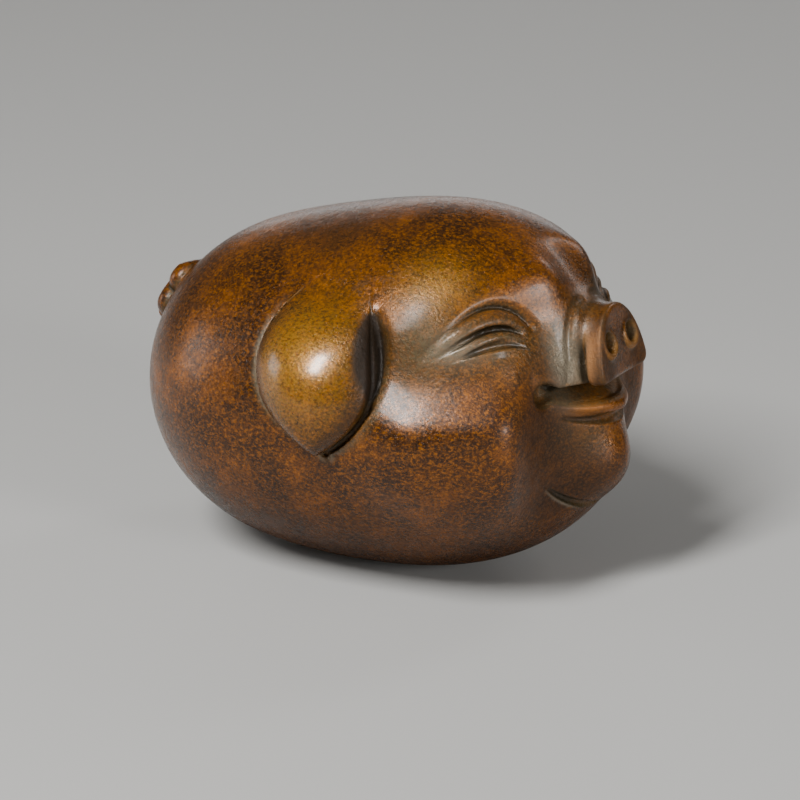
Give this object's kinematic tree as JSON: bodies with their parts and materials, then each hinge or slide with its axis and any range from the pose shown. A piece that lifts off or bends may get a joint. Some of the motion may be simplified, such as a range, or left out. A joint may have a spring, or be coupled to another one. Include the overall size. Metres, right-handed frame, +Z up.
{
  "type": "tea pet",
  "caption": "Small round cast bronze pig with a flat-ended snout, shut laughing eyes, drooping ears and a curled tail; rests on a small flat on its belly.",
  "frame": {"origin": "middle of the small flat on the belly that the pig rests on", "axes": "+Z up, -Y towards the snout, +Y towards the tail, -X towards the pig's right"},
  "size_m": [0.0462, 0.054, 0.0382],
  "materials": {
    "patinated_bronze": "semi-gloss brown patina with darker specks, and olive in the recesses"
  },
  "bodies": {
    "root": {"pig": "patinated_bronze"}
  },
  "joints": []
}
